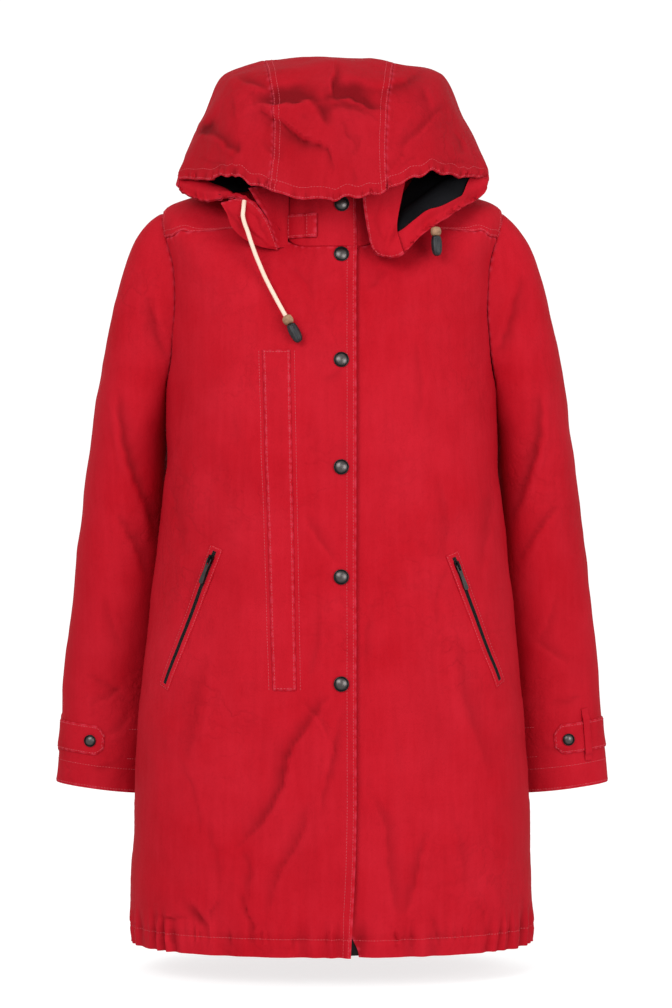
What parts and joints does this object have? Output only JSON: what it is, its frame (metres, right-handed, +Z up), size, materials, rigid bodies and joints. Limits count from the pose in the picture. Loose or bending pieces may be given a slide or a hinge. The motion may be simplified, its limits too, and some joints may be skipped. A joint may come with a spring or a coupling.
{
  "type": "hooded parka, worn shape, held up by its wearer",
  "caption": "Hooded thigh-length parka in red waxed cotton, filled out as worn: snapped fly over a zip, chest welt pocket, slanted hip zips, tabbed cuffs and a drawcord hood.",
  "frame": {"origin": "middle of the neck at the height of the neck points, where the wearer's shoulders carry the coat", "axes": "+X to the wearer's left, -Y the way the coat faces, +Z up"},
  "size_m": [0.6448, 0.3079, 1.0099],
  "materials": {
    "shell_cloth": "matte dry-waxed cotton",
    "lining_cloth": "matte black lining",
    "zip_tape": "woven tape with teeth",
    "gunmetal": "dark satin plating",
    "cord_yarn": "braided cotton",
    "leather": "tan, matte",
    "cord_end_plastic": "ribbed black"
  },
  "bodies": {
    "garment": {"back": "shell_cloth", "chest_welt": "shell_cloth", "collar": "shell_cloth", "collar_tab": "shell_cloth", "cord_end_left": "cord_end_plastic", "cord_end_right": "cord_end_plastic", "cord_stopper_left": "leather", "cord_stopper_right": "leather", "cuff_keeper_left": "shell_cloth", "cuff_keeper_right": "shell_cloth", "cuff_snap_left": "gunmetal", "cuff_snap_right": "gunmetal", "cuff_tab_left": "shell_cloth", "cuff_tab_right": "shell_cloth", "drawcord_right": "cord_yarn", "fly_snap_1": "gunmetal", "fly_snap_2": "gunmetal", "fly_snap_3": "gunmetal", "fly_snap_4": "gunmetal", "fly_snap_5": "gunmetal", "fly_snap_6": "gunmetal", "front_left": "shell_cloth", "front_right": "shell_cloth", "front_zip": "zip_tape", "hood_crown": "shell_cloth", "hood_facing": "shell_cloth", "hood_left": "shell_cloth", "hood_lining": "lining_cloth", "hood_right": "shell_cloth", "pocket_welt_left": "shell_cloth", "pocket_welt_right": "shell_cloth", "pocket_zip_left": "zip_tape", "pocket_zip_right": "zip_tape", "sleeve_left": "shell_cloth", "sleeve_right": "shell_cloth", "yoke": "shell_cloth", "zip_slider_left": "gunmetal", "zip_slider_right": "gunmetal"},
    "pull_right": {"zip_pull_right": "gunmetal"},
    "pull_left": {"zip_pull_left": "gunmetal"}
  },
  "joints": [
    {"name": "pull_right_swing", "type": "hinge", "parent": "garment", "child": "pull_right", "pos_m": [-0.13531, -0.1257, -0.43396], "axis": [-0.815, 0.4492, 0.366], "range_deg": [0, 150]},
    {"name": "pull_left_swing", "type": "hinge", "parent": "garment", "child": "pull_left", "pos_m": [0.14089, -0.12308, -0.44096], "axis": [-0.8012, -0.4768, -0.3617], "range_deg": [0, 150]}
  ]
}
